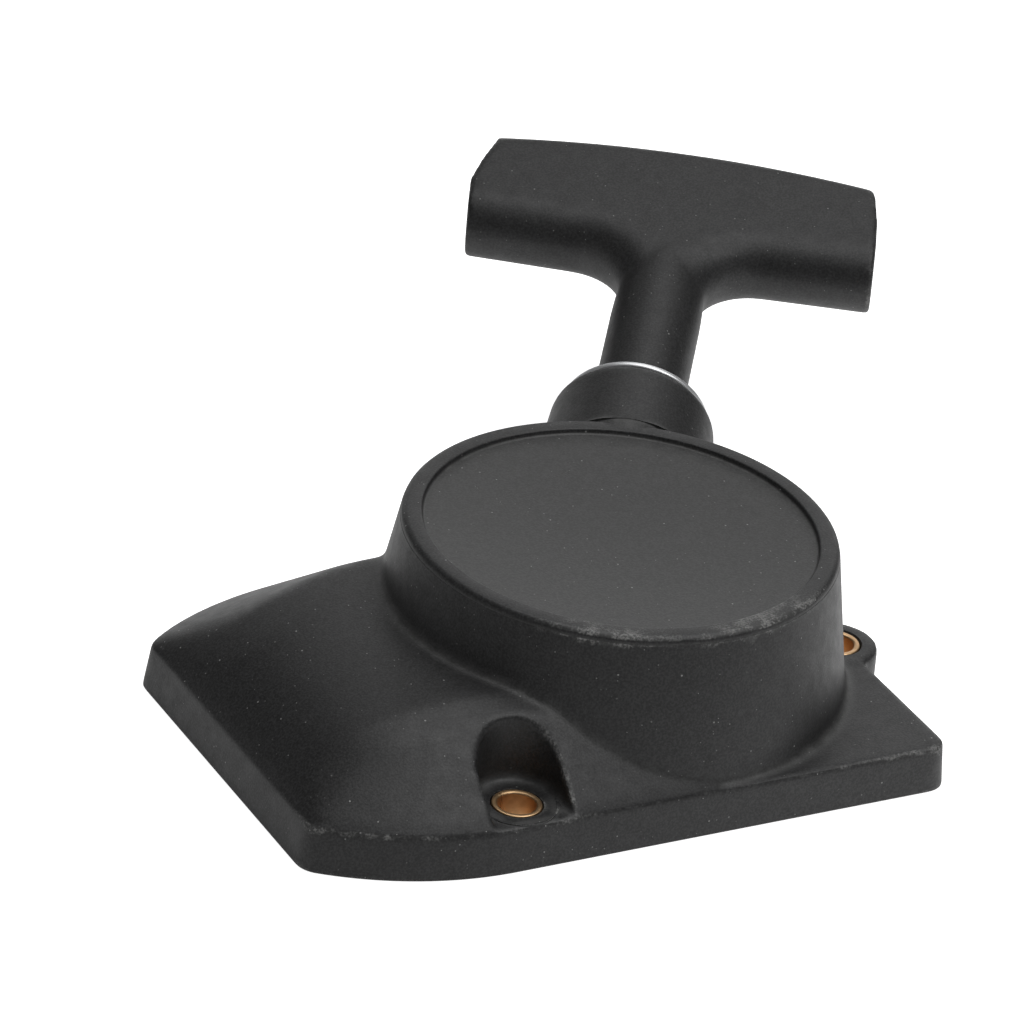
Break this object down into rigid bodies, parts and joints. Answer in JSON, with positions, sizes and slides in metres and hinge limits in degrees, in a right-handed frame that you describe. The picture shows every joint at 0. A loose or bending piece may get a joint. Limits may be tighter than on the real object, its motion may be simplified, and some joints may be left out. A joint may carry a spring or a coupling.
{
  "type": "recoil starter",
  "caption": "Recoil starter: black moulded housing with rope pulley, rewind spring, pawls, metal rope guide and a pull T-handle.",
  "frame": {"origin": "on the crankshaft axis, in the plane of the housing's mounting face", "axes": "+Z along the crankshaft axis away from the engine, +X along the straight front edge towards the screw lug, +Y to the side where the rope leaves"},
  "size_m": [0.1703, 0.1657, 0.0487],
  "materials": {
    "housing_nylon": "fine spark-eroded grain, black glass-filled nylon",
    "grip_nylon": "fine grain, black nylon",
    "pulley_nylon": "smooth dark grey nylon",
    "bronze": "turned bronze",
    "bright_steel": "bright turned steel",
    "zinc_steel": "zinc-plated pressed steel",
    "spring_steel": "blued spring steel",
    "rope": "braided polyamide cord"
  },
  "bodies": {
    "housing": {"starter_housing": "housing_nylon", "screw_bush_front": "bronze", "screw_bush_right": "bronze", "screw_bush_back": "bronze", "pivot_sleeve": "bright_steel", "spring_case": "zinc_steel", "spring_cover": "zinc_steel", "rewind_spring": "spring_steel", "rope_guide_eyelet": "bright_steel", "rope_lead": "rope", "thrust_washer": "zinc_steel", "centre_screw": "bright_steel"},
    "pulley": {"rope_pulley": "pulley_nylon", "rope_winding": "rope", "pulley_knot": "rope", "pawl_pin_1": "bright_steel", "pawl_pin_2": "bright_steel"},
    "guide": {"pawl_guide_plate": "zinc_steel", "friction_spring": "spring_steel"},
    "pawl_1": {"pawl_1": "zinc_steel"},
    "pawl_2": {"pawl_2": "zinc_steel"},
    "handle": {"handle_grip": "grip_nylon", "handle_cap": "grip_nylon", "knot_plate": "zinc_steel", "handle_knot": "rope", "handle_rope": "rope"}
  },
  "joints": [
    {"name": "handle_pull", "type": "slide", "parent": "housing", "child": "handle", "axis": [0.5678, 0.7815, 0.2588], "range_m": [0, 0.7], "deforming": ["rope_lead"]},
    {"name": "pulley_spin", "type": "hinge", "parent": "housing", "child": "pulley", "pos_m": [0, 0, 0.018], "axis": [0, 0, 1], "range_deg": [-1608.3, 0.5], "stiffness_Nm_per_rad": 0.003, "springref_deg": 1260.51, "deforming": ["rewind_spring"]},
    {"name": "guide_turn", "type": "hinge", "parent": "pulley", "child": "guide", "pos_m": [0, 0, 0.0086], "axis": [0, 0, 1], "range_deg": [0, 40]},
    {"name": "pawl_1_swing", "type": "hinge", "parent": "pulley", "child": "pawl_1", "pos_m": [0.016, 0, 0.0115], "axis": [0, 0, 1], "range_deg": [0, 35]},
    {"name": "pawl_2_swing", "type": "hinge", "parent": "pulley", "child": "pawl_2", "pos_m": [-0.016, 0, 0.0115], "axis": [0, 0, 1], "range_deg": [0, 35]}
  ],
  "couplings": [
    {"joint": "pulley_spin", "follows": "handle_pull", "rad_per_m": -40},
    {"joint": "pawl_1_swing", "follows": "guide_turn", "ratio": 0.875},
    {"joint": "pawl_2_swing", "follows": "guide_turn", "ratio": 0.875}
  ]
}
